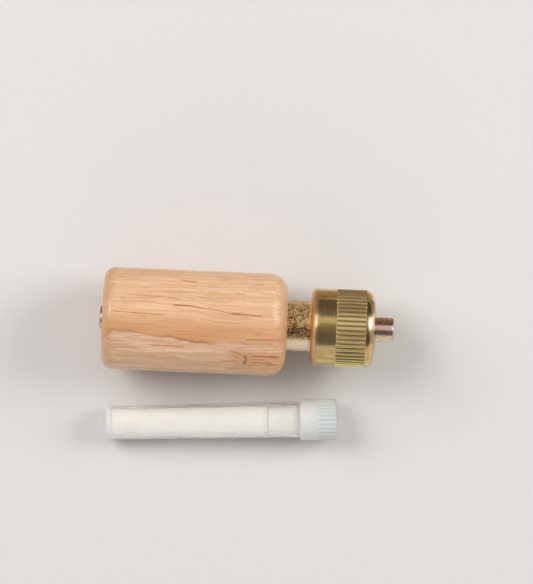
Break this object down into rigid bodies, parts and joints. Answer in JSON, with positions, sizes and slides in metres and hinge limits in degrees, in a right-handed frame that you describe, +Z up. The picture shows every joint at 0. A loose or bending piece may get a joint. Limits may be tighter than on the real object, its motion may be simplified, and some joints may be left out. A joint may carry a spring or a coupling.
{
  "type": "twist bird call",
  "caption": "Small wooden barrel with a knurled brass knob that twists a rough plug in it to chirp, and a capped vial of rosin powder beside it.",
  "frame": {"origin": "on the turning axis, halfway along the wooden barrel", "axes": "+X along the turning axis from the barrel towards the knob, +Z up from the table that the call and its vial lie on, +Y across the table away from the vial"},
  "size_m": [0.0512, 0.0303, 0.0178],
  "materials": {
    "varnished_wood": "turned pale wood under a clear satin varnish",
    "rough_brass": "rough, blotchy brass left as turned",
    "knob_brass": "bright turned brass with a straight knurl",
    "pin_steel": "drawn steel with a warm tint",
    "milky_tube": "clear, slightly milky moulded plastic",
    "milky_cap": "milky translucent moulded plastic",
    "white_powder": "packed fine off-white powder"
  },
  "bodies": {
    "barrel": {"barrel": "varnished_wood"},
    "pin": {"axle_pin": "pin_steel"},
    "knob": {"friction_plug": "rough_brass", "thumb_knob": "knob_brass"},
    "vial": {"rosin_tube": "milky_tube", "rosin_powder": "white_powder"},
    "vial_cap": {"rosin_cap": "milky_cap"}
  },
  "joints": [
    {"name": "pull_out", "type": "slide", "parent": "barrel", "child": "pin", "axis": [1, 0, 0], "range_m": [0, 0.045]},
    {"name": "twist", "type": "hinge", "parent": "pin", "child": "knob", "pos_m": [0.016, 0, 0], "axis": [1, 0, 0], "continuous": true},
    {"name": "vial_aside", "type": "slide", "parent": "barrel", "child": "vial", "axis": [0, -1, 0], "range_m": [0, 0.03]},
    {"name": "cap_pull", "type": "slide", "parent": "vial", "child": "vial_cap", "axis": [0.9979, 0.061, 0.0193], "range_m": [0, 0.02]}
  ]
}
